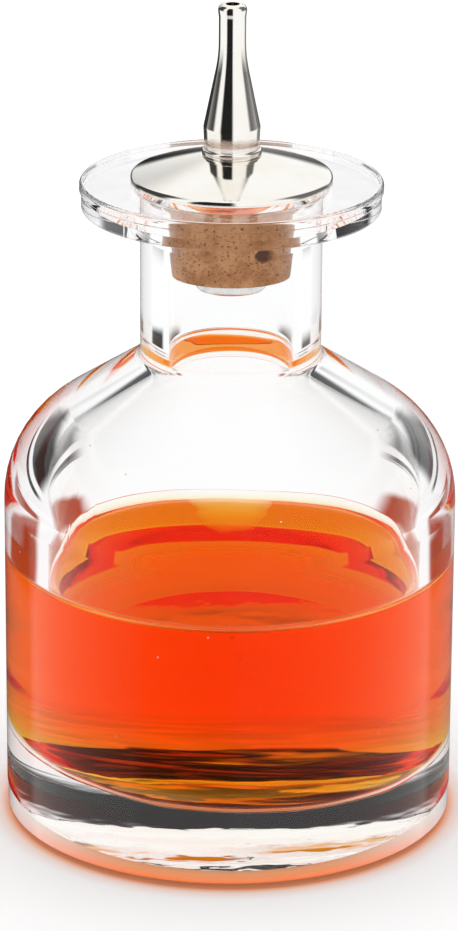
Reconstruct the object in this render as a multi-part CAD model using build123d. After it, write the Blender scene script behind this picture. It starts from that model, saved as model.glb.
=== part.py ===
from build123d import *
import os
from math import cos, radians, sin, tan

# A dasher bottle for bitters. A heavy glass bottle with a flanged mouth is closed by a tapered
# cork, and the cork carries a domed disc and a turned spout, clamped by a tube and a round nut.
# Lengths are in millimetres and angles in degrees. Z runs up the bottle's axis, and the origin is
# the centre of the ring that the bottle stands on. Every outline gives a radius, then a height.

# Glass bottle, outside
bottle_height = 105.0
body_radius = 36.0
shoulder_slope = 33.0           # of the cone above the body, up from the horizontal
shoulder_radius = 18.4          # of the arc from the body into that cone
neck_radius = 14.3
neck_foot_height = 76.8         # where the cone would meet the neck
neck_foot_fillet = 2.0
flange_radius = 23.5
flange_thickness = 4.5
flange_fillet = 1.2             # where the neck runs out into the flange
flange_round = 0.45             # lower edge of the flange
bead_proud = 0.3                # ring round the top edge of the flange
bead_height = 1.5
bead_round = 0.6
bead_foot_round = 0.14

# Glass bottle, base
base_band_height = 4.6          # up to the seam of the base mould
base_band_inset = 0.15
base_band_round = 0.07
heel_round = 0.9
rest_ring_width = 5.5
push_up_depth = 1.2             # of the hollow under the base, at its middle

# Glass bottle, inside
body_wall = 6.0
shoulder_wall = 5.2
inner_shoulder_radius = 13.5    # of the arc from the inner wall into the cone under the neck
floor_thickness = 10.6          # on the axis
floor_tilt = 2.5                # the floor of the mould leans down towards +X
floor_corner = 4.0
bore_radius = 9.85
throat_round = 2.5              # where the bore opens into the body
mouth_round = 0.4

# Liquid
fill_height = 41.3              # of its flat surface
meniscus_radius = 1.6
meniscus_edge = 0.2             # thickness of the liquid at the top of the meniscus

# Cork
cork_length = 14.5
cork_bottom_radius = 9.3
cork_top_radius = 10.8
cork_round = 0.45
cork_clearance = 0.05           # all round, between the cork and its taper in the mouth

# Disc
disc_radius = 15.9
disc_edge_height = 0.9          # where the dome would meet the edge
disc_height = 4.1
disc_crest_slope = 13.0         # of the dome at the foot of the spout, growing outwards
disc_roll = 0.8                 # rounding of the upper edge
disc_under_round = 0.2
seat_gap = 0.05                 # between the disc and the mouth of the bottle

# Stem
stem_radius = 2.6
stem_bore_radius = 1.5
stem_fit = 0.02                 # all round, between the stem and what it passes through
stem_reach = 4.8                # how far it goes up into the spout
stem_end_gap = 0.1              # between the end of the stem and the end of its socket

# Retaining nut
nut_radius = 5.5
nut_thickness = 2.55
nut_round = 0.6                 # lower outer edge

# Spout
foot_radius = 4.68
foot_height = 1.1
foot_round = 0.3
foot_groove_round = 0.15
waist_radius = 4.3
hip_radius = 4.45
hip_height = 4.55               # above the disc
hip_round = 1.2
nozzle_radius = 2.12
nozzle_foot_height = 15.8       # above the disc, where cone and nozzle would meet
nozzle_blend = 22.0
lip_radius = 2.24
lip_height = 2.0                # from where the nozzle starts to widen up to the tip
lip_flare_height = 0.8
lip_blend = 2.5
tip_round = 0.85
spout_height = 24.0
dash_hole_radius = 1.1
dash_hole_length = 6.0

# Shared by all cuts that have to run past a face
overrun = 1.0

# Heights along the axis
flange_underside = bottle_height - flange_thickness
disc_underside = bottle_height + seat_gap
cork_bottom = disc_underside - cork_length
nut_underside = cork_bottom - nut_thickness
disc_crest = disc_underside + disc_height
spout_tip = disc_crest + spout_height
stem_top = disc_crest + stem_reach

# Radii that follow others
cavity_radius = body_radius - body_wall
stem_hole_radius = stem_radius + stem_fit
shoulder_rise = tan(radians(shoulder_slope))


def turned(section):
    """Spin a section drawn in radius and height about the bottle's axis."""
    return revolve(Plane.XZ * section, Axis.Z)


def rounded_section(*corners):
    """A section through corners given as radius, height and rounding."""
    points = [(radius, height) for radius, height, rounding in corners]
    roundings = [rounding for radius, height, rounding in corners]
    return make_face(FilletPolyline(*points, radius=roundings, close=True))


def shoulder_height(radius, wall_below=0):
    """Height of the shoulder's cone at a radius, or of a surface under it by a wall."""
    outside = neck_foot_height + (neck_radius - radius) * shoulder_rise
    return outside - wall_below / cos(radians(shoulder_slope))


def make_outside():
    """The bottle as a solid block of glass, with the hollow under its base."""
    band_radius = body_radius - base_band_inset
    bead_radius = flange_radius + bead_proud
    bead_underside = bottle_height - bead_height
    block = turned(
        rounded_section(
            (0, 0, 0),
            (band_radius, 0, heel_round),
            (band_radius, base_band_height, base_band_round),
            (body_radius, base_band_height, base_band_round),
            (body_radius, shoulder_height(body_radius), shoulder_radius),
            (neck_radius, neck_foot_height, neck_foot_fillet),
            (neck_radius, flange_underside, flange_fillet),
            (flange_radius, flange_underside, flange_round),
            (flange_radius, bead_underside, bead_foot_round),
            (bead_radius, bead_underside, bead_foot_round),
            (bead_radius, bottle_height, bead_round),
            (0, bottle_height, 0),
        )
    )
    hollow_radius = band_radius - heel_round - rest_ring_width
    hollow = make_face(
        TangentArc((0, push_up_depth), (hollow_radius, 0), tangent=(1, 0))
        + Polyline((hollow_radius, 0), (hollow_radius, -overrun), (0, -overrun), (0, push_up_depth))
    )
    return block - turned(hollow)


def make_cavity():
    """The space inside the bottle: body with a leaning floor, shoulder, bore and tapered mouth."""
    floor_drop = cavity_radius * tan(radians(floor_tilt)) + overrun
    space = turned(
        rounded_section(
            (0, floor_thickness - floor_drop, 0),
            (cavity_radius, floor_thickness - floor_drop, 0),
            (cavity_radius, shoulder_height(cavity_radius, shoulder_wall), inner_shoulder_radius),
            (bore_radius, shoulder_height(bore_radius, shoulder_wall), throat_round),
            (bore_radius, bottle_height + overrun, 0),
            (0, bottle_height + overrun, 0),
        )
    )
    floor = Plane((0, 0, floor_thickness)).rotated((0, floor_tilt, 0))
    space = split(space, bisect_by=floor, keep=Keep.TOP)
    space = fillet(space.faces().sort_by(Axis.Z)[0].edges(), floor_corner)
    return space


def make_mouth():
    """The taper that the cork sits in, from the mouth down to where it meets the bore."""
    taper_share = (cork_top_radius - cork_bottom_radius) / cork_length
    mouth_radius = cork_top_radius + cork_clearance
    taper_length = (mouth_radius - bore_radius) / taper_share
    return turned(
        rounded_section(
            (0, bottle_height - taper_length, 0),
            (bore_radius, bottle_height - taper_length, 0),
            (mouth_radius, bottle_height, mouth_round),
            (mouth_radius + overrun, bottle_height, 0),
            (mouth_radius + overrun, bottle_height + overrun, 0),
            (0, bottle_height + overrun, 0),
        )
    )


def make_fill(cavity):
    """The liquid, with the rim of its surface drawn up the glass."""
    liquid_top = Plane.XY.offset(fill_height + meniscus_radius)
    liquid = split(cavity, bisect_by=liquid_top, keep=Keep.BOTTOM)
    dish = turned(
        rounded_section(
            (0, fill_height, 0),
            (cavity_radius - meniscus_edge, fill_height, meniscus_radius),
            (cavity_radius - meniscus_edge, fill_height + meniscus_radius + overrun, 0),
            (0, fill_height + meniscus_radius + overrun, 0),
        )
    )
    return liquid - dish


def make_cork():
    return turned(
        rounded_section(
            (stem_hole_radius, cork_bottom, 0),
            (cork_bottom_radius, cork_bottom, cork_round),
            (cork_top_radius, disc_underside, 0),
            (stem_hole_radius, disc_underside, 0),
        )
    )


def make_disc():
    """A domed disc with a rolled edge and a flat seat for the foot of the spout."""
    dome_foot = disc_underside + disc_edge_height
    crest_direction = (cos(radians(disc_crest_slope)), -sin(radians(disc_crest_slope)))
    section = make_face(
        Polyline(
            (foot_radius, disc_crest),
            (stem_hole_radius, disc_crest),
            (stem_hole_radius, disc_underside),
            (disc_radius, disc_underside),
            (disc_radius, dome_foot),
        )
        + TangentArc((foot_radius, disc_crest), (disc_radius, dome_foot), tangent=crest_direction)
    )
    upper_corner = section.vertices().group_by(Axis.X)[-1].sort_by(Axis.Y)[-1]
    section = fillet(upper_corner, disc_roll)
    under_corner = section.vertices().group_by(Axis.X)[-1].sort_by(Axis.Y)[0]
    section = fillet(under_corner, disc_under_round)
    return turned(section)


def make_stem():
    return turned(
        rounded_section(
            (stem_bore_radius, nut_underside, 0),
            (stem_radius, nut_underside, 0),
            (stem_radius, stem_top, 0),
            (stem_bore_radius, stem_top, 0),
        )
    )


def make_nut():
    return turned(
        rounded_section(
            (stem_hole_radius, nut_underside, 0),
            (nut_radius, nut_underside, nut_round),
            (nut_radius, cork_bottom, 0),
            (stem_hole_radius, cork_bottom, 0),
        )
    )


def make_spout():
    """The turned spout: foot bead, waist, hip, cone, nozzle and lip round the dash hole."""
    foot_top = disc_crest + foot_height
    lip_foot = spout_tip - lip_height
    socket_end = stem_top + stem_end_gap
    hole_foot = spout_tip - dash_hole_length
    return turned(
        rounded_section(
            (stem_hole_radius, disc_crest, 0),
            (foot_radius, disc_crest, foot_round),
            (foot_radius, foot_top, foot_round),
            (waist_radius, foot_top, foot_groove_round),
            (hip_radius, disc_crest + hip_height, hip_round),
            (nozzle_radius, disc_crest + nozzle_foot_height, nozzle_blend),
            (nozzle_radius, lip_foot, lip_blend),
            (lip_radius, lip_foot + lip_flare_height, lip_blend),
            (lip_radius, spout_tip, tip_round),
            (dash_hole_radius, spout_tip, 0),
            (dash_hole_radius, hole_foot, 0),
            (stem_bore_radius, socket_end, 0),
            (stem_hole_radius, socket_end, 0),
        )
    )


cavity = make_cavity()
pieces = {
    "glass_bottle": make_outside() - cavity - make_mouth(),
    "bitters_fill": make_fill(cavity),
    "cork_stopper": make_cork(),
    "cap_disc": make_disc(),
    "stem_tube": make_stem(),
    "retaining_nut": make_nut(),
    "dasher_spout": make_spout(),
}

os.makedirs("parts", exist_ok=True)
for node, solid in pieces.items():
    export_step(solid, f"parts/{node}.step")
    print(f"{node}: {solid.volume:.0f} cubic millimetres")
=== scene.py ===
# %% [markdown]
# # A dasher bottle for bitters
# The object is a heavy glass bottle, part filled with an orange drink, and closed by a cork that
# carries a plated disc and a slender spout. The packed model already fixes every size and place.
# This lesson gives each piece its real surface, and starts by loading that model as the frame.

# %% Load the packed model
import random
from math import atan2, ceil, cos, hypot, pi, radians, sin, sqrt, tan

import bmesh
import bpy
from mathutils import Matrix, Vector, noise


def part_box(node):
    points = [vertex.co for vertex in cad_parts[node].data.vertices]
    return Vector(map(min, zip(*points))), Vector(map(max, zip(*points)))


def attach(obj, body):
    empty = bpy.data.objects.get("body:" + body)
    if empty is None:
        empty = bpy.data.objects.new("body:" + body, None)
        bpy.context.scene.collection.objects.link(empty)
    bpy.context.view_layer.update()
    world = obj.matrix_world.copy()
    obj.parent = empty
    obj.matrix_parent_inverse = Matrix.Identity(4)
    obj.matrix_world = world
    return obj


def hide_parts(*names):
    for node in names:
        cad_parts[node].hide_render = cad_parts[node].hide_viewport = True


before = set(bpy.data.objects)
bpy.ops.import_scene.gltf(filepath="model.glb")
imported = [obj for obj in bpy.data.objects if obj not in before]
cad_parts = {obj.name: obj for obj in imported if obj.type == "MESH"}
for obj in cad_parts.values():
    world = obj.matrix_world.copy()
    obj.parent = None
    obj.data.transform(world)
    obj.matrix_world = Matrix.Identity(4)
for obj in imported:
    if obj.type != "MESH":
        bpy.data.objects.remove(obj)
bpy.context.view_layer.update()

MM = 0.001

# %% [markdown]
# ## Turned forms
# Every piece here is round about one axis, so each could be a primitive with modifiers, or a curve
# that is spun. A list of outline points spun in bmesh gives the most control: the corners get true
# arcs, and the straight runs get rings that crowd towards their ends. Those crowded rings hold the
# shading of a flat face flat right up to its rounded edge, and glass shows every slip in that.


# %% Points on an arc
def arc(centre, start, turn, steps):
    """Points after start on an arc about a centre, through an angle in radians."""
    spoke = start - centre
    points = []
    for step in range(1, steps + 1):
        angle = turn * step / steps
        across = spoke.x * cos(angle) - spoke.y * sin(angle)
        up = spoke.x * sin(angle) + spoke.y * cos(angle)
        points.append(centre + Vector((across, up)))
    return points


quarter = arc(Vector((0, 0)), Vector((1, 0)), pi / 2, steps=6)
print("a quarter turn in 6 steps ends at", quarter[-1].to_tuple(3))


# %% Points on a straight run
def run(start, end, spacing):
    """Points after start on a straight run, closer together near its ends."""
    length = (end - start).length
    if length < spacing / 100:
        return []
    steps = ceil(length / spacing) + 3
    shares = [(1 - cos(pi * step / steps)) / 2 for step in range(1, steps + 1)]
    return [start.lerp(end, share) for share in shares]


straight = run(Vector((0, 0)), Vector((1, 0)), spacing=0.5)
print("a run of two spacings gets points at", [round(point.x, 3) for point in straight])


# %% Round the corners of an outline
def rounded(corners, spacing, facet=radians(7)):
    """An outline through corners given as radius, height and rounding."""
    fewest_steps = 4
    points = [Vector(corners[0][:2])]
    for before, corner, after in zip(corners, corners[1:], corners[2:]):
        tip = Vector(corner[:2])
        back = (Vector(before[:2]) - tip).normalized()
        ahead = (Vector(after[:2]) - tip).normalized()
        if corner[2] == 0:
            points += run(points[-1], tip, spacing)
            continue
        half = back.angle(ahead) / 2
        start = tip + back * corner[2] / tan(half)
        centre = tip + (back + ahead).normalized() * corner[2] / sin(half)
        side = 1 if back.x * ahead.y - back.y * ahead.x < 0 else -1
        turn = pi - 2 * half
        points += run(points[-1], start, spacing)
        points += arc(centre, points[-1], side * turn, max(fewest_steps, ceil(turn / facet)))
    return points + run(points[-1], Vector(corners[-1][:2]), spacing)


elbow = rounded([(0, 0, 0), (2, 0, 1), (2, 2, 0)], spacing=1)
print("a bend with one rounded corner has", len(elbow), "points")


# %% Turn a bmesh into a smooth piece
def piece_from(name, bm, sharpest=radians(30)):
    """Turn a bmesh into an object that is shaded smooth up to its sharp edges."""
    mesh = bpy.data.meshes.new(name)
    bm.to_mesh(mesh)
    bm.free()
    mesh.shade_smooth()
    mesh.set_sharp_from_angle(angle=sharpest)
    piece = bpy.data.objects.new(name, mesh)
    bpy.context.scene.collection.objects.link(piece)
    print(f"{name}: {len(mesh.vertices)} points, {len(mesh.polygons)} faces")
    return piece


def even_angles(count):
    return [2 * pi * step / count for step in range(count)]


print("four even angles:", [round(angle, 3) for angle in even_angles(4)])

# %% Spin an outline into a mesh
on_axis = MM / 1000


def spun(name, outline, angles, closed=False, shape=None):
    """Spin points of radius and height about Z. shape moves each point of the mesh."""
    bm = bmesh.new()
    rings = []
    for radius, height in outline:
        turns = angles if radius > on_axis else [0]
        places = [Vector((radius * cos(a), radius * sin(a), height)) for a in turns]
        rings.append([bm.verts.new(shape(place) if shape else place) for place in places])
    pairs = list(zip(rings, rings[1:]))
    if closed:
        pairs.append((rings[-1], rings[0]))
    count = len(angles)
    for lower, upper in pairs:
        for step in range(count):
            following = (step + 1) % count
            corners = [
                lower[step % len(lower)],
                lower[following % len(lower)],
                upper[following % len(upper)],
                upper[step % len(upper)],
            ]
            bm.faces.new(list(dict.fromkeys(corners)))
    bmesh.ops.recalc_face_normals(bm, faces=bm.faces)
    return piece_from(name, bm)


print("points nearer to the axis than", on_axis, "m are joined into one")

# %% [markdown]
# ## The glass bottle
# The real bottle is blown into a mould, so its outside is true and its inside is a little wavy, and
# the floor of the space inside leans. It could be two skins, or one with a solidify modifier, but
# the wall isn't even. So the outline runs from the middle of the base, up the outside, over the
# flange and down the inside, in one closed skin. The inside is then moved by a slow noise and the
# floor is leant over, because the drink shows every such wave.

# %% Sizes of the outside
low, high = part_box("glass_bottle")
bottle_height = high.z
body_radius = high.x
band_inset = 0.15 * MM
band_radius = body_radius - band_inset
band_height = 4.6 * MM
band_round = 0.07 * MM
push_up = 1.2 * MM
heel = 0.9 * MM
rest_ring = 5.5 * MM
push_up_radius = band_radius - heel - rest_ring
shoulder_slope = tan(radians(33))
shoulder_radius = 18.4 * MM
neck_radius = 14.3 * MM
neck_foot = 76.8 * MM
neck_fillet = 2.0 * MM
flange_radius = 23.5 * MM
flange_underside = bottle_height - 4.5 * MM
flange_fillet = 1.2 * MM
flange_round = 0.45 * MM
bead_radius = flange_radius + 0.3 * MM
bead_underside = bottle_height - 1.5 * MM
bead_foot_round = 0.14 * MM
bead_round = 0.6 * MM
print("bottle", bottle_height, "tall and", 2 * body_radius, "across")

# %% Sizes of the inside
mouth_radius = 10.85 * MM
mouth_round = 0.4 * MM
taper_foot = bottle_height - 9.667 * MM
bore_radius = 9.85 * MM
throat_round = 2.5 * MM
shoulder_wall = 5.2 * MM
inner_shoulder_radius = 13.5 * MM
cavity_radius = body_radius - 6.0 * MM
floor_height = 10.6 * MM
floor_corner = 4.0 * MM
floor_lean = tan(radians(2.5))
fill_height = 41.3 * MM
fill_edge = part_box("bitters_fill")[1].z
print("the drink climbs from", fill_height, "to", fill_edge)


# %% Outline of the outside
def shoulder_height(radius, wall=0):
    """Height of the shoulder's cone at a radius, or of the face a wall below it."""
    return neck_foot + (neck_radius - radius) * shoulder_slope - wall * hypot(1, shoulder_slope)


def push_up_outline(steps=24):
    """The shallow hollow under the base, from its middle out to the ring it stands on."""
    dome = (push_up_radius**2 + push_up**2) / (2 * push_up)
    radii = [push_up_radius * step / steps for step in range(steps)]
    return [Vector((radius, push_up - dome + sqrt(dome**2 - radius**2))) for radius in radii]


outside = rounded(
    [
        (push_up_radius, 0, 0),
        (band_radius, 0, heel),
        (band_radius, band_height, band_round),
        (body_radius, band_height, band_round),
        (body_radius, shoulder_height(body_radius), shoulder_radius),
        (neck_radius, neck_foot, neck_fillet),
        (neck_radius, flange_underside, flange_fillet),
        (flange_radius, flange_underside, flange_round),
        (flange_radius, bead_underside, bead_foot_round),
        (bead_radius, bead_underside, bead_foot_round),
        (bead_radius, bottle_height, bead_round),
        (mouth_radius, bottle_height, mouth_round),
        (bore_radius, taper_foot, 0),
    ],
    spacing=1.0 * MM,
)
print("outside:", len(outside), "points")

# %% Outline of the inside
throat = (bore_radius, shoulder_height(bore_radius, shoulder_wall), throat_round)
inner_corner_height = shoulder_height(cavity_radius, shoulder_wall)
inner_shoulder = (cavity_radius, inner_corner_height, inner_shoulder_radius)
dry_inside = rounded(
    [(bore_radius, taper_foot, 0), throat, inner_shoulder, (cavity_radius, fill_edge, 0)],
    spacing=0.8 * MM,
)
wet_inside = rounded(
    [(cavity_radius, fill_edge, 0), (cavity_radius, floor_height, floor_corner), (0, floor_height, 0)],
    spacing=0.8 * MM,
)
glass_outline = push_up_outline() + outside + dry_inside[1:] + wet_inside[1:]
print("glass outline:", len(glass_outline), "points")

# %% [markdown]
# Blown glass is never quite even. The wall could be dented with a displace modifier, but a rule in
# Python can tell the wet floor from the dry shoulder. Below the fill line the walls wave slowly and
# the floor ripples, mostly in bands across the view, which is what gives the streaks of light and
# dark under the drink. The whole space also sits a hair to one side.

# %% Waves and lean of the inside
wall_wave = 0.10 * MM
wall_scale = 70
wall_squash = 0.6
floor_wave = 0.45 * MM
slow_ripple = (45, 150, 4.0)
quick_ripple = (110, 420, 9.0)
quick_share = 0.25
cavity_shift = 0.4 * MM
settled = fill_height - 8 * MM
wave_fades_over = 8 * MM


def eased(low_end, high_end, value):
    """0 below the low end, 1 above the high end, and smooth between them."""
    share = min(max((value - low_end) / (high_end - low_end), 0), 1)
    return share * share * (3 - 2 * share)


def rippled(place, across, along, layer):
    """A noise drawn out across the view, at one of its layers."""
    return noise.noise(Vector((place.x * across, place.y * along, layer)))


def blown(place):
    """Move a point of the inside as the blowing left it: off centre, leaning and wavy."""
    radius = hypot(place.x, place.y)
    low_share = 1 - eased(floor_height + floor_corner, settled, place.z)
    lean = -place.x * floor_lean * low_share
    wave = noise.noise(Vector((place.x, place.y, place.z * wall_squash)) * wall_scale) * wall_wave
    ripple = rippled(place, *slow_ripple) * floor_wave
    ripple += rippled(place, *quick_ripple) * floor_wave * quick_share
    aside = cavity_shift * eased(floor_height, settled, place.z)
    if place.z > fill_edge:
        aside *= eased(bore_radius, cavity_radius, radius)
    on_floor = 1 - eased(cavity_radius - floor_corner, cavity_radius, radius)
    outward = wave * eased(floor_height, floor_height + 2 * floor_corner, place.z)
    outward *= 1 - eased(inner_shoulder[1], inner_shoulder[1] + wave_fades_over, place.z)
    grown = 1 + outward / max(radius, MM)
    lift = lean + ripple * on_floor * low_share
    return Vector((place.x * grown + aside, place.y * grown, place.z + lift))


left_wall = blown(Vector((-cavity_radius, 0, fill_height)))
print("the wall at the fill line moved by", round(left_wall.x + cavity_radius, 6), "m")

# %% [markdown]
# A mould of two halves leaves a seam where they meet. It could be a line in the shader, but a real
# ridge catches light from any side. It is a few hundredths of a millimetre high on the neck, and
# hardly there on the body, where the drink behind it would show it as a scratch.

# %% Seams of the mould
seam_angles = [radians(-133.8), radians(46.2)]
seam_ridge = 0.04 * MM
seam_width = 0.25 * MM
body_seam_share = 0.06
touch = MM / 100


def moulded(place):
    """The outside as the mould left it, with a faint ridge along each seam."""
    angle = atan2(place.y, place.x)
    radius = hypot(place.x, place.y)
    ridge = 0
    for seam in seam_angles:
        aside = abs((angle - seam + pi) % (2 * pi) - pi) * radius
        ridge += seam_ridge * (1 - eased(0, seam_width, aside))
    if radius < neck_radius - MM or place.z > bottle_height - bead_round or place.z < heel:
        ridge = 0
    if place.z < flange_underside:
        ridge *= body_seam_share
    grown = 1 + ridge / max(radius, MM)
    return Vector((place.x * grown, place.y * grown, place.z))


def glass_form(place):
    """Move a point of the glass by the rule of its side."""
    radius = hypot(place.x, place.y)
    inside = radius < cavity_radius + touch and place.z > floor_height - touch
    inside = inside and place.z < shoulder_height(radius, shoulder_wall / 2)
    return blown(place) if inside else moulded(place)


print("seams at", [round(angle, 3) for angle in seam_angles], "radians")

# %% Spin the glass
round_angles = even_angles(192)
beside_seam = (-0.8, -0.4, -0.2, 0, 0.2, 0.4, 0.8)
for seam in seam_angles:
    round_angles += [seam + radians(aside) for aside in beside_seam]
round_angles = sorted(angle % (2 * pi) for angle in round_angles)
glass = spun("bottle_glass", glass_outline, round_angles, shape=glass_form)

# %% [markdown]
# ## Bubbles
# A few small bubbles, called seeds, stay in glass like this and catch the light as specks. A noise
# in the shader would lie on the surface and slide over the refraction. Each seed is a closed ball
# inside the wall instead, part of the same mesh, with its faces turned inwards, so that a ray which
# enters it leaves the glass. Most are drawn out a little in height, as the glass ran.


# %% Put bubbles in the wall
def add_seeds(piece, places):
    """Put small bubbles into the glass: closed balls whose faces look inwards."""
    bm = bmesh.new()
    bm.from_mesh(piece.data)
    for place, size, stretch in places:
        made = bmesh.ops.create_icosphere(bm, subdivisions=2, radius=size)
        for vert in made["verts"]:
            vert.co = Vector((vert.co.x, vert.co.y, vert.co.z * stretch)) + place
        ball = {face for vert in made["verts"] for face in vert.link_faces}
        bmesh.ops.reverse_faces(bm, faces=list(ball))
    bm.to_mesh(piece.data)
    bm.free()
    piece.data.shade_smooth()
    piece.data.set_sharp_from_angle(angle=radians(30))
    print(piece.name, "holds", len(places), "bubbles")


seed_count = 46
wall_turns_in = 50 * MM
shoulder_pull = 0.75
seed_dice = random.Random(11)
seeds = []
for _ in range(seed_count):
    turn = seed_dice.uniform(0, 2 * pi)
    height = seed_dice.uniform(14, 62) * MM
    depth = seed_dice.uniform(1.4, 3.4) * MM
    outer = body_radius - max(height - wall_turns_in, 0) * shoulder_pull
    radius = outer - depth
    size = seed_dice.uniform(0.05, 0.16) * MM
    place = Vector((radius * cos(turn), radius * sin(turn), height))
    seeds.append((place, size, seed_dice.uniform(1.0, 1.5)))
add_seeds(glass, seeds)
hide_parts("glass_bottle")
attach(glass, "bottle")

# %% [markdown]
# ## The drink
# A real liquid has no gap to its glass and climbs it a little at the edge. A boolean with the glass
# would leave ragged faces, so the skin that it shares with the glass is spun from the same points
# as the inside of the bottle, and both move alike. It then reaches a hair into the glass, which is
# the usual way to keep air from showing between.

# %% Spin the drink
overlap = 0.04 * MM
meniscus_edge = 0.2 * MM
meniscus_radius = 1.6 * MM
surface = rounded(
    [
        (0, fill_height, 0),
        (cavity_radius - meniscus_edge, fill_height, meniscus_radius),
        (cavity_radius - meniscus_edge, fill_edge, 0),
        (cavity_radius + overlap, fill_edge, 0),
    ],
    spacing=0.8 * MM,
)
floor_share = [Vector((point.x + overlap, point.y - overlap)) for point in wet_inside[1:-1]]
drink_outline = surface + floor_share + [Vector((0, floor_height - overlap))]


def drink_form(place):
    """Move the free surface aside with the space, and the rest as the glass moves."""
    radius = hypot(place.x, place.y)
    free = radius < cavity_radius - meniscus_edge / 2 and place.z > fill_height - MM / 10
    return place + Vector((cavity_shift, 0, 0)) if free else blown(place)


drink = spun("bitters", drink_outline, round_angles, shape=drink_form)
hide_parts("bitters_fill")
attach(drink, "bottle")

# %% [markdown]
# ## The cork
# A natural cork is cut across its bark, so the breathing pores lie as short dark pits round its
# side, and small cells roughen it all over. A bump map would lose the pits at the outline. They
# are real hollows here, sunk into a fine mesh, because they show through the neck as shadows, and
# one of them is the large dark knot. Nothing stands proud, so the cork still lifts out.

# %% Choose the pits
cork_low, cork_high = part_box("cork_stopper")
cork_bottom_radius = 9.3 * MM
cork_top_radius = cork_high.x
cork_round = 0.45 * MM
stem_hole = 2.62 * MM
pit_count = 70
dice = random.Random(7)
pits = []
for _ in range(pit_count):
    angle = dice.uniform(0, 2 * pi)
    height = dice.uniform(cork_low.z, cork_high.z)
    wide = dice.uniform(0.4, 1.6) * MM
    tall = dice.uniform(0.2, 0.55) * MM
    pits.append((angle, height, wide, tall, dice.uniform(0.15, 0.5) * MM))
knot_angle = radians(-62)
knot_height = cork_low.z + 5.2 * MM
knot_wide, knot_tall, knot_deep = 1.5 * MM, 1.0 * MM, 1.3 * MM
pits.append((knot_angle, knot_height, knot_wide, knot_tall, knot_deep))
print("the cork has", len(pits), "pits, the widest", 2 * max(pit[2] for pit in pits), "m across")

# %% Spin the cork and sink its pits
bored_radius = stem_hole * 1.5
cell_depth = 0.06 * MM
cell_scale = 2600
pit_flatness = 0.7


def barked(place):
    """Sink a point of the cork's side or foot into the pits that it lies in."""
    radius = hypot(place.x, place.y)
    if radius < bored_radius or place.z > cork_high.z - MM / 10:
        return place
    angle = atan2(place.y, place.x)
    sunk = cell_depth * (1 + noise.noise(place * cell_scale))
    for pit_angle, pit_height, wide, tall, deep in pits:
        aside = abs((angle - pit_angle + pi) % (2 * pi) - pi) * radius
        reach = hypot(aside / wide, (place.z - pit_height) / tall)
        if reach < 1:
            sunk = max(sunk, deep * (1 - reach**2) ** pit_flatness)
    return place - Vector((place.x, place.y, 0)) * sunk / radius


cork_outline = rounded(
    [
        (stem_hole, cork_high.z, 0),
        (stem_hole, cork_low.z, 0),
        (cork_bottom_radius, cork_low.z, cork_round),
        (cork_top_radius, cork_high.z, 0),
        (stem_hole * 1.01, cork_high.z, 0),
    ],
    spacing=0.22 * MM,
)
cork = spun("cork", cork_outline, even_angles(288), closed=True, shape=barked)
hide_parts("cork_stopper")
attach(cork, "stopper")

# %% [markdown]
# ## The disc and the spout
# Both are turned from metal and plated. They could keep the faces of the packed model, but the
# mirror finish shows the outline of the whole room, so their curves have to be finer than that,
# with no faceting. The disc is a low dome with a rolled edge.

# %% Spin the disc
disc_low, disc_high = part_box("cap_disc")
disc_radius = disc_high.x
disc_roll = 0.8 * MM
disc_under_round = 0.2 * MM
dome_foot = disc_low.z + 0.9 * MM
foot_radius = 4.68 * MM
crest_slope = radians(13)


def dome_outline(steps=40):
    """The dome's arc, from the foot of the spout out and down to the edge."""
    across = disc_radius - foot_radius
    down = disc_high.z - dome_foot
    chord_slope = atan2(down, across)
    bend = 2 * (chord_slope - crest_slope)
    dome = hypot(across, down) / (2 * sin(bend / 2))
    points = []
    for step in range(steps + 1):
        angle = crest_slope + bend * step / steps
        radius = foot_radius + dome * (sin(angle) - sin(crest_slope))
        points.append(Vector((radius, disc_high.z - dome * (cos(crest_slope) - cos(angle)))))
    return points


roll_start = disc_radius - 0.7 * MM
dome = [point for point in dome_outline() if point.x < roll_start]
disc_edge = rounded(
    [
        dome[-1].to_tuple(),
        (disc_radius, dome_foot, disc_roll),
        (disc_radius, disc_low.z, disc_under_round),
        (stem_hole, disc_low.z, 0),
    ],
    spacing=0.5 * MM,
)
disc_seat = [Vector((stem_hole, disc_high.z)), Vector((foot_radius * 0.98, disc_high.z))]
disc = spun("disc", disc_seat + dome + disc_edge[1:], even_angles(192), closed=True)
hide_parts("cap_disc")
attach(disc, "stopper")

# %% [markdown]
# The spout is one slow curve from a waist over a hip to a slim nozzle, which opens out again at
# the lip. It could be a spline, but that would drift from the solid. Its outline is the same as
# the solid's instead: corners that are rounded by very large arcs, in finer steps.

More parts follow.
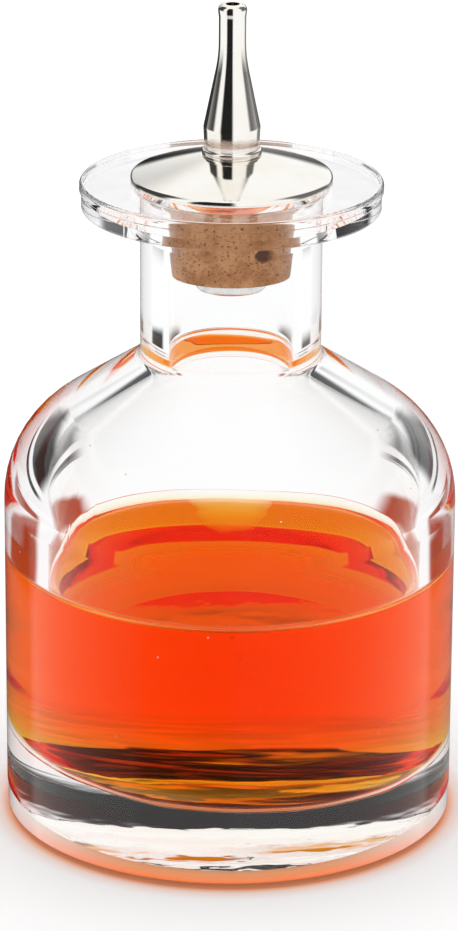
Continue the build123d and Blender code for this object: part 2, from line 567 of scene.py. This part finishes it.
# %% Spin the spout
spout_low, spout_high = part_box("dasher_spout")
crest, tip = spout_low.z, spout_high.z
foot_round = 0.3 * MM
foot_top = crest + 1.1 * MM
foot_groove_round = 0.15 * MM
waist_radius = 4.3 * MM
hip_radius = 4.45 * MM
hip_height = crest + 4.55 * MM
hip_round = 1.2 * MM
nozzle_radius = 2.12 * MM
nozzle_foot = crest + 15.8 * MM
nozzle_blend = 22 * MM
lip_radius = 2.24 * MM
lip_foot = tip - 2.0 * MM
lip_flare = tip - 1.2 * MM
lip_blend = 2.5 * MM
tip_round = 0.85 * MM
dash_hole_radius = 1.1 * MM
dash_hole_foot = tip - 6 * MM
socket_end = crest + 4.9 * MM
spout_outline = rounded(
    [
        (stem_hole, crest, 0),
        (foot_radius, crest, foot_round),
        (foot_radius, foot_top, foot_round),
        (waist_radius, foot_top, foot_groove_round),
        (hip_radius, hip_height, hip_round),
        (nozzle_radius, nozzle_foot, nozzle_blend),
        (nozzle_radius, lip_foot, lip_blend),
        (lip_radius, lip_flare, lip_blend),
        (lip_radius, tip, tip_round),
        (dash_hole_radius, tip, 0),
        (dash_hole_radius, dash_hole_foot, 0),
        (stem_hole, socket_end, 0),
    ],
    spacing=0.3 * MM,
    facet=radians(3),
)
spout = spun("spout", spout_outline, even_angles(128), closed=True)
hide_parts("dasher_spout")
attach(spout, "stopper")

# %% [markdown]
# ## The nut under the cork
# It shows through the neck as a pale round plate, and its lower edge is well rounded. A bevelled
# cylinder would do, and spinning it keeps one way for all. The tube that it is screwed to hardly
# shows, so that piece keeps the shape it came with.

# %% Spin the nut
nut_low, nut_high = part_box("retaining_nut")
nut_radius = nut_high.x
nut_round = 0.6 * MM
nut_outline = rounded(
    [
        (stem_hole, nut_low.z, 0),
        (nut_radius, nut_low.z, nut_round),
        (nut_radius, nut_high.z, 0),
        (stem_hole, nut_high.z, 0),
    ],
    spacing=0.4 * MM,
)
nut = spun("nut", nut_outline, even_angles(96), closed=True)
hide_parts("retaining_nut")
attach(nut, "stopper")

# %% [markdown]
# ## Writing shaders as sums
# A finish is a tree of nodes, and long trees are hard to read as lists of links. A small class
# wraps a socket, so that sums on masks are written as Python, and every other node comes from one
# method that sets its options first and then its sockets.


# %% A socket that can be added and multiplied
class Wire:
    """An output in a node tree. Arithmetic on it adds Math nodes to that tree."""

    def __init__(self, finish, socket):
        self.finish = finish
        self.socket = socket

    def maths(self, operation, first, second):
        return self.finish.node("ShaderNodeMath", {"operation": operation}, {0: first, 1: second})

    def __add__(self, other):
        return self.maths("ADD", self, other)

    def __sub__(self, other):
        return self.maths("SUBTRACT", self, other)

    def __mul__(self, other):
        return self.maths("MULTIPLY", self, other)

    def __truediv__(self, other):
        return self.maths("DIVIDE", self, other)

    def __pow__(self, other):
        return self.maths("POWER", self, other)

    def __rsub__(self, other):
        return self.maths("SUBTRACT", other, self)

    __radd__ = __add__
    __rmul__ = __mul__


print("wires take + - * / and **")


# %% A node tree under construction
class Finish:
    """A node tree under construction, of a material or of the world."""

    def __init__(self, owner):
        owner.use_nodes = True
        self.owner = owner
        self.tree = owner.node_tree
        self.tree.nodes.clear()

    def node(self, kind, settings=None, sockets=None, output=0):
        """Add a node: its settings, then the value or the wire of each of its sockets."""
        made = self.tree.nodes.new(kind)
        for name, value in (settings or {}).items():
            if name == "stops":
                self.set_stops(made.color_ramp.elements, value)
            else:
                setattr(made, name, value)
        for name, value in (sockets or {}).items():
            if isinstance(value, Wire):
                self.tree.links.new(value.socket, made.inputs[name])
            else:
                made.inputs[name].default_value = value
        return Wire(self, made.outputs[output]) if made.outputs else None

    def set_stops(self, elements, stops):
        """Give a colour ramp its stops, each a position and a colour."""
        while len(elements) < len(stops):
            elements.new(0.5)
        for element, (position, colour) in zip(elements, stops):
            element.position = position
            element.color = colour

    def step(self, value, low, high):
        """0 where a value is at low, 1 where it is at high, and smooth between them."""
        sockets = {"Value": value, "From Min": low, "From Max": high}
        return self.node("ShaderNodeMapRange", {"interpolation_type": "SMOOTHSTEP"}, sockets)

    def blend(self, factor, base, over):
        """A colour, with another laid over it by a factor."""
        sockets = {"Factor": factor, 6: base, 7: over}
        return self.node("ShaderNodeMix", {"data_type": "RGBA"}, sockets, output=2)

    def split(self, vector):
        """The x, y and z of a place or a direction."""
        first = self.node("ShaderNodeSeparateXYZ", sockets={0: vector})
        return [Wire(self, output) for output in first.socket.node.outputs]

    def surface(self, shader, volume=None):
        """Close the tree of a material, and give that material back."""
        ends = {"Surface": shader}
        if volume:
            ends["Volume"] = volume
        self.node("ShaderNodeOutputMaterial", sockets=ends)
        print("finish", self.owner.name, "has", len(self.tree.nodes), "nodes")
        return self.owner


print("a finish has", ", ".join(name for name in vars(Finish) if "__" not in name))


# %% What every finish of a piece starts from
class Skin(Finish):
    """The finish of a piece, with the patterns that all of them are made of."""

    def __init__(self, name):
        super().__init__(bpy.data.materials.new(name))
        self.place = self.node("ShaderNodeTexCoord", output="Object")

    def clouds(self, scale, detail):
        """A soft noise from 0 to 1, with so many clouds in a metre."""
        sockets = {"Vector": self.place, "Scale": scale, "Detail": detail}
        return self.node("ShaderNodeTexNoise", sockets=sockets)

    def rings(self, closeness):
        """A fine noise in rings round the axis, as a turning tool leaves it."""
        x, y, z = self.split(self.place)
        along = (x * x + y * y) ** 0.5 + z
        options = {"noise_dimensions": "1D"}
        return self.node("ShaderNodeTexNoise", options, {"W": along * closeness, "Detail": 3})

    def bump(self, height, depth):
        """A normal that tilts as if the surface rose with a height."""
        sockets = {"Strength": 1, "Distance": depth, "Height": height}
        return self.node("ShaderNodeBump", sockets=sockets)


def dress(piece, material):
    """Give a piece one material and take away what it had."""
    piece.data.materials.clear()
    piece.data.materials.append(material)
    print(piece.name, "wears", material.name)


print("a skin adds", ", ".join(name for name in vars(Skin) if "__" not in name))

# %% [markdown]
# ## Clear glass
# The real glass is clear, fire polished and not quite even. A Glass shader would do for it, but the
# Principled one also has Specular Tint. In a white room each face would add a pale veil of some
# four percent, which a dark studio hides, so that tint is low. A slow bump bends what shows
# through by a hair, and a slow noise gives the clear colour a trace of green.

# %% Make the glass
clear = (1, 1, 1, 1)
trace_of_green = (0.985, 0.992, 0.99, 1)
glass_veil = 0.08


def clear_glass(name, roughness=0.0, alpha=1.0, scale=90, depth=0.03 * MM):
    """Glass whose surface waves by a scale and a depth."""
    finish = Skin(name)
    tint = finish.clouds(scale=40, detail=3)
    shader = finish.node(
        "ShaderNodeBsdfPrincipled",
        sockets={
            "Base Color": finish.blend(finish.step(tint, 0.35, 0.7), clear, trace_of_green),
            "Roughness": roughness,
            "IOR": 1.5,
            "Transmission Weight": 1,
            "Specular Tint": (glass_veil, glass_veil, glass_veil, 1),
            "Alpha": alpha,
            "Normal": finish.bump(finish.clouds(scale, detail=1), depth),
        },
    )
    return finish.surface(shader)


dress(glass, clear_glass("clear_glass"))

# %% [markdown]
# The ring that the bottle stands on is scuffed where it touches tables, and shows the paper right
# under it rather than the room. The hollow inside that ring keeps the fine grain of its mould. A
# mask in one material could part the three, but faces in slots of their own keep each plain.

# %% Scuff the foot and grain the hollow
scuffed_radius = 25.5 * MM


def is_foot(place):
    return place.z < push_up and hypot(place.x, place.y) > scuffed_radius


def is_push_up(place):
    return place.z < push_up + MM / 10 and hypot(place.x, place.y) <= scuffed_radius


def faces_where(piece, slot, chosen):
    """Give a material slot to the faces whose middle a rule picks."""
    count = 0
    for face in piece.data.polygons:
        if chosen(face.center):
            face.material_index = slot
            count += 1
    print(piece.name, "has", count, "faces in slot", slot)


glass.data.materials.append(clear_glass("scuffed_foot", roughness=0.2, alpha=0.06))
glass.data.materials.append(clear_glass("moulded_base", scale=260, depth=0.04 * MM))
faces_where(glass, 1, is_foot)
faces_where(glass, 2, is_push_up)

# %% [markdown]
# ## Bitters
# The drink is clear but strongly coloured: thin places look yellow and thick ones red. A coloured
# surface would tint both alike. Absorption in the volume takes all the blue and some of the green
# from each millimetre of the way, so the colour deepens by itself. The finest oils make real
# bitters a little uneven, which a faint noise in the surface colour stands for.

# %% Make the drink's finish
passes_through = (0.999, 0.79, 0.0, 1)
strength = 250
oily_haze = (0.99, 0.955, 0.91, 1)
drink_veil = 0.06


def bitters():
    finish = Skin("orange_bitters")
    haze = finish.clouds(scale=55, detail=3)
    shader = finish.node(
        "ShaderNodeBsdfPrincipled",
        sockets={
            "Base Color": finish.blend(finish.step(haze, 0.35, 0.7), clear, oily_haze),
            "Roughness": 0.0,
            "IOR": 1.36,
            "Transmission Weight": 1,
            "Specular Tint": (drink_veil, drink_veil, drink_veil, 1),
        },
    )
    sockets = {"Color": passes_through, "Density": strength}
    volume = finish.node("ShaderNodeVolumeAbsorption", sockets=sockets)
    return finish.surface(shader, volume)


dress(drink, bitters())

# %% [markdown]
# ## Plated metal
# Nickel plate is a warm mirror. A perfect mirror looks false, and a rough one looks like steel.
# The lathe leaves rings far finer than a hair, which draw each highlight out round the axis, and
# small specks dull it here and there, so both are put in as bump and roughness at their real size.

# %% Make the plating
bright_nickel = (0.97, 0.95, 0.91, 1)
warm_nickel = (0.94, 0.905, 0.83, 1)
polished = 0.04
tone_dulls, speck_dulls = 0.05, 0.12


def plated_metal():
    finish = Skin("plated_metal")
    tone = finish.clouds(scale=160, detail=5)
    specks = finish.step(finish.clouds(scale=5200, detail=2), 0.68, 0.74)
    turning = finish.rings(closeness=5200)
    dulled = finish.step(tone, 0.3, 0.8) * tone_dulls + specks * speck_dulls
    shader = finish.node(
        "ShaderNodeBsdfPrincipled",
        sockets={
            "Base Color": finish.blend(finish.step(tone, 0.35, 0.7), bright_nickel, warm_nickel),
            "Roughness": polished + dulled,
            "Metallic": 1,
            "Normal": finish.bump(turning + specks * 0.6, depth=0.0012 * MM),
        },
    )
    return finish.surface(shader)


plating = plated_metal()
dress(disc, plating)
dress(spout, plating)

# %% [markdown]
# ## Plain steel
# The nut and the tube are turned and left bare, so they are duller than the plate, with rings that
# a finger could feel and grey patches where the drink has been. The same rings as for the plate
# serve, but deeper, and a noise with much detail mixes two greys.

# %% Make the steel
clean_steel = (0.82, 0.82, 0.81, 1)
worn_steel = (0.62, 0.61, 0.58, 1)


def plain_steel():
    finish = Skin("plain_steel")
    wear = finish.clouds(scale=420, detail=6)
    shader = finish.node(
        "ShaderNodeBsdfPrincipled",
        sockets={
            "Base Color": finish.blend(finish.step(wear, 0.4, 0.7), clean_steel, worn_steel),
            "Roughness": 0.18 + wear * 0.2,
            "Metallic": 1,
            "Normal": finish.bump(finish.rings(closeness=7000), depth=0.004 * MM),
        },
    )
    return finish.surface(shader)


steel = plain_steel()
dress(nut, steel)
dress(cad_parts["stem_tube"], steel)

# %% [markdown]
# ## Cork
# Cork is a warm tan with darker patches, a fine salt and pepper of cells and small black pores, and
# the hollow of its knot is darkened almost to black by painted shade. An image of cork would show a
# seam round the side. Noises in three dimensions run through it like the real bark, and each adds
# one of those layers in turn.

# %% Make the cork's finish
pale_cork = (0.88, 0.44, 0.21, 1)
dark_cork = (0.60, 0.25, 0.095, 1)
cell_brown = (0.30, 0.12, 0.05, 1)
pore_brown = (0.14, 0.055, 0.025, 1)
# painted shade: the colour that darkens the hollow of the knot
knot_shade_brown = (0.10, 0.04, 0.02, 1)
knot_from_axis = 9.2 * MM
knot_core, knot_rim = 1.1 * MM, 1.9 * MM
towards_knot = Vector((cos(knot_angle), sin(knot_angle), 0))
knot_middle = towards_knot * knot_from_axis + Vector((0, 0, knot_height))


def natural_cork():
    finish = Skin("natural_cork")
    patch = finish.clouds(scale=330, detail=4)
    cells = finish.clouds(scale=2600, detail=3)
    grain = finish.node("ShaderNodeTexVoronoi", sockets={"Vector": finish.place, "Scale": 1300})
    pores = 1 - finish.step(grain, 0.10, 0.24)
    from_knot = finish.node(
        "ShaderNodeVectorMath",
        {"operation": "DISTANCE"},
        {0: finish.place, 1: knot_middle},
        output="Value",
    )
    # painted shade in and round the knot's hollow, fading out between knot_core and knot_rim
    painted_knot_shade = 1 - finish.step(from_knot + cells * 0.6 * MM, knot_core, knot_rim)
    colour = finish.blend(finish.step(patch, 0.35, 0.68), pale_cork, dark_cork)
    colour = finish.blend(finish.step(cells, 0.52, 0.66) * 0.55, colour, cell_brown)
    colour = finish.blend(pores * 0.8, colour, pore_brown)
    colour = finish.blend(painted_knot_shade * 0.85, colour, knot_shade_brown)
    shader = finish.node(
        "ShaderNodeBsdfPrincipled",
        sockets={
            "Base Color": colour,
            "Roughness": 0.8 + patch * 0.15,
            "Normal": finish.bump(cells - pores, depth=0.08 * MM),
        },
    )
    return finish.surface(shader)


dress(cork, natural_cork())

# %% [markdown]
# ## The studio
# Clear glass has no look of its own: it shows the room, bent and folded. In an even white room it
# nearly vanishes, so a studio lights it white from behind and sets black cards around it, which
# draw its edges as dark lines. Planes with lamps could do the same, but the room here is a
# picture in the world's nodes, made from directions alone, with no noise from small lamps. Rays to
# the camera and to matt surfaces see plain white, so that no colour on the object shifts. Only
# rays that mirrors and glass send out see the cards.


# %% A tree that knows the way round the bottle
class Round(Finish):
    """A node tree that knows the way round the bottle, of a direction or of a place."""

    def __init__(self, owner, coordinates):
        super().__init__(owner)
        self.x, self.y, self.z = self.split(self.node("ShaderNodeTexCoord", output=coordinates))
        self.level = (self.x * self.x + self.y * self.y) ** 0.5

    def fan(self, bearing, width, blur):
        """1 within a width in degrees about a bearing. Bearing 0 is towards -Y."""
        turn = radians(bearing)
        towards = (self.x * sin(turn) - self.y * cos(turn)) / self.level
        near, far = radians(max(width / 2 - blur, 0)), radians(width / 2 + blur)
        return self.step(towards, cos(far), cos(near))

    def ring(self, inner, outer, blur):
        """1 between two distances from the bottle's axis."""
        leaving = self.step(self.level, outer - blur, outer + blur)
        return self.step(self.level, inner - blur, inner + blur) * (1 - leaving)

    def card(self, bearing, width, blur, foot, top):
        """1 inside a patch of the room, between two heights in degrees."""
        rising = self.step(self.z, sin(radians(foot - blur)), sin(radians(foot + blur)))
        falling = self.step(self.z, sin(radians(top - blur)), sin(radians(top + blur)))
        return self.fan(bearing, width, blur) * rising * (1 - falling)

    def picture(self, cards):
        """The brightness of a white room, with cards of some darkness standing in it."""
        brightness = 1
        for darkness, *place in cards:
            brightness = brightness * (1 - self.card(*place) * darkness)
        return brightness

    def rays(self, kind):
        """1 for rays of a kind, such as those that a mirror sends out."""
        return self.node("ShaderNodeLightPath", output=kind)


print("a tree with a way round adds", ", ".join(name for name in vars(Round) if "__" not in name))

# %% [markdown]
# Each card has a darkness, a bearing, a width and a blur, then the heights of its foot and its top,
# all in degrees. The metal sees tall cards to the front left and at both sides, which give the
# spout its dark lines. The glass sees a low dark band all across the back, which fills the thick
# base, a high one that the drink shows near its floor, and a card behind each shoulder.

# %% Hang the cards
left_card = (-141, 32, 4)
right_card = (147, 26, 4)
world = bpy.data.worlds.new("studio")
bpy.context.scene.world = world
room = Round(world, "Generated")
seen_in_metal = room.picture(
    [
        (0.985, -22, 50, 5, -30, 66),
        (0.95, -150, 56, 5, -40, 6),
        (0.75, 180, 70, 4, -12, 6),
        (0.75, 150, 50, 5, -40, 6),
        (0.95, -108, 60, 8, -6, 60),
        (0.85, 108, 60, 8, -6, 60),
        (0.35, -155, 26, 8, 6, 34),
    ]
)
seen_in_glass = room.picture(
    [
        (0.95, 180, 190, 2.5, 16, 29),
        (0.985, 180, 160, 3, 33, 64),
        (0.97, *left_card, -40, 7),
        (0.88, *right_card, -40, 9),
    ]
)
by_mirror = room.rays("Is Glossy Ray")
by_glass = room.rays("Is Transmission Ray")
brightness = 1 - by_mirror * (1 - seen_in_metal)
brightness = brightness - by_glass * (brightness - seen_in_glass)
even = room.node("ShaderNodeBackground", sockets={"Color": (1, 1, 1, 1), "Strength": brightness})
room.node("ShaderNodeOutputWorld", sockets={"Surface": even})
print("the room has", len(room.tree.nodes), "nodes")

# %% [markdown]
# ## The floor
# The bottle stands on white paper, which holds its soft shadow and a rim of orange light that the
# drink throws round the foot. Cycles could find that light by itself, with a strong lamp and very
# many samples. It is painted as a ramp over the distance from the axis instead, so it is clean
# and the same from every side.

# %% Lay the paper
floor_size = 3.0
floor_drop = 0.06 * MM
bpy.ops.mesh.primitive_plane_add(size=2 * floor_size, location=(0, 0, -floor_drop))
floor = bpy.context.object
floor.name = "floor"
ground = Round(bpy.data.materials.new("floor_white"), "Object")
paper_white = (1, 1, 1, 1)
glow_reach = 50 * MM
rim_glow = ground.node(
    "ShaderNodeValToRGB",
    {
        "stops": [
            (0.00, (0.80, 0.40, 0.24, 1)),
            (0.60, (1.00, 0.42, 0.22, 1)),
            (0.71, (1.00, 0.36, 0.16, 1)),
            (0.74, (1.00, 0.80, 0.72, 1)),
            (0.79, paper_white),
        ]
    },
    {"Fac": ground.level / glow_reach},
)
print("the glow fades out", 0.79 * glow_reach - body_radius, "m beyond the body")

# %% [markdown]
# The glass shows the paper near it as a bright sheet of painted light and shade. Under the bottle it
# is brown from the light that comes down through the drink, then a narrow ring is a strong orange,
# and farther out it is white. Only the part in front of the bottle shows this, so the sides fade to
# white. Two dark red patches farther back are a painted shadow: the orange shade that the drink
# casts back across the paper, which shows in the drink's own edges.

# %% Paint the paper that the glass shows
cast_reach = 150 * MM
cast_light = ground.node(
    "ShaderNodeValToRGB",
    {
        "stops": [
            (0.000, (0.62, 0.26, 0.12, 1)),
            (0.150, (0.56, 0.20, 0.09, 1)),
            (0.178, (0.76, 0.33, 0.16, 1)),
            (0.200, (0.93, 0.27, 0.10, 1)),
            (0.212, (1.00, 0.20, 0.05, 1)),
            (0.238, (1.00, 0.22, 0.06, 1)),
            (0.262, (0.98, 0.42, 0.22, 1)),
            (0.300, (0.92, 0.84, 0.80, 1)),
            (0.400, paper_white),
        ]
    },
    {"Fac": ground.level / cast_reach},
)
front = ground.fan(bearing=0, width=110, blur=40)
side_whiteness = 0.85
# painted shadow of the drink, cast back on the paper in two dark red patches behind the shoulders
beside = ground.fan(bearing=-139, width=32, blur=3) + ground.fan(bearing=141, width=32, blur=3)
painted_drink_shadow = ground.ring(116 * MM, 149 * MM, blur=5 * MM) * beside
drink_shadow_red = (0.40, 0.045, 0.010, 1)
floor_colour = ground.blend((1 - front) * side_whiteness, cast_light, paper_white)
floor_colour = ground.blend(painted_drink_shadow, floor_colour, drink_shadow_red)
print("the ring of orange lies", 0.212 * cast_reach, "to", 0.238 * cast_reach, "m out")

# %% [markdown]
# The two cards behind the shoulders reach down to the floor and go on across it, or a white gap
# would show in the glass at their feet. Near the bottle only a strip is dark, which draws the root
# of the neck. Between the strip and the rest the paper stays white, so that the neck is clear.

# %% Lay the feet of the cards on the paper
near_strip = ground.ring(222 * MM, 251 * MM, blur=5 * MM)
behind = ground.step(ground.level, 300 * MM, 330 * MM)
left_darkness, right_darkness = 0.98, 0.88
open_floor = 1 - behind * ground.fan(*left_card) * left_darkness
open_floor = open_floor * (1 - near_strip * ground.fan(*left_card) * left_darkness)
open_floor = open_floor * (1 - (behind + near_strip) * ground.fan(*right_card) * right_darkness)
print("the floor's tree has", len(ground.tree.nodes), "nodes so far")

# %% [markdown]
# Last, each kind of ray gets its own floor. The camera and matt surfaces see the lit paper with its
# shadow, lifted by a little light of its own. Glass sees the painted sheet. A mirror looks through
# the floor to the cards of the room, because the metal is to show the studio and not the paper.

# %% Choose what each kind of ray sees
paper_lift = 0.12
paper = ground.node("ShaderNodeBsdfDiffuse", sockets={"Color": rim_glow})
glow = ground.node("ShaderNodeEmission", sockets={"Color": rim_glow, "Strength": paper_lift})
lit_paper = ground.node("ShaderNodeAddShader", sockets={0: paper, 1: glow})
black = ground.node("ShaderNodeEmission", sockets={"Color": (0, 0, 0, 1), "Strength": 0})
shining = ground.node("ShaderNodeEmission", sockets={"Color": floor_colour, "Strength": 1})
carded = ground.node("ShaderNodeMixShader", sockets={0: open_floor, 1: black, 2: shining})
through = ground.rays("Is Transmission Ray")
seen = ground.node("ShaderNodeMixShader", sockets={0: through, 1: lit_paper, 2: carded})
only_mirrored = ground.rays("Is Glossy Ray") * (1 - through)
absent = ground.node("ShaderNodeBsdfTransparent")
by_ray = ground.node("ShaderNodeMixShader", sockets={0: only_mirrored, 1: seen, 2: absent})
dress(floor, ground.surface(by_ray))

# %% [markdown]
# ## The camera
# The rims of the flange and of the base are ellipses in the photograph, and their shapes tell how
# far the camera looks down and how near it stands. A camera set by eye seldom matches both. These
# values were fitted to both at once, and they give a long lens from about 75 cm away.

# %% Set up the camera
photo_height = 931
focal_pixels = 4665
distance = 743.6 * MM
look_down = radians(19.9)
aim_height = 57.6 * MM
aside = -0.16 * MM
roll = radians(0.33)
camera_data = bpy.data.cameras.new("photo_camera")
camera_data.sensor_width = 36
camera_data.lens = focal_pixels / photo_height * camera_data.sensor_width
camera_data.clip_end = 50
camera = bpy.data.objects.new("photo_camera", camera_data)
bpy.context.scene.collection.objects.link(camera)
camera.location = (aside, -distance * cos(look_down), aim_height + distance * sin(look_down))
camera.rotation_euler = (pi / 2 - look_down, 0, 0)
camera.rotation_euler.rotate_axis("Z", roll)
bpy.context.scene.camera = camera
print("lens", round(camera_data.lens, 1), "at", camera.location.to_tuple(3))

# %% [markdown]
# ## Light paths
# A ray that enters thick glass with a drink in it can cross a dozen faces and turn back inside
# several more times. Where it meets its limit it is lost, and leaves a dark patch. A lamp behind
# the bottle wouldn't help that, so the limits are raised well past a dozen. Colours are shown as
# they are written, so the view transform is the plain one.

# %% Let the light go far enough
cycles = bpy.context.scene.cycles
cycles.max_bounces = 32
cycles.transmission_bounces = 32
cycles.glossy_bounces = 16
cycles.transparent_max_bounces = 32
bpy.context.scene.view_settings.view_transform = "Standard"
print("a ray may turn", cycles.max_bounces, "times")

# %% [markdown] The dressed object has to be as large as the packed one.
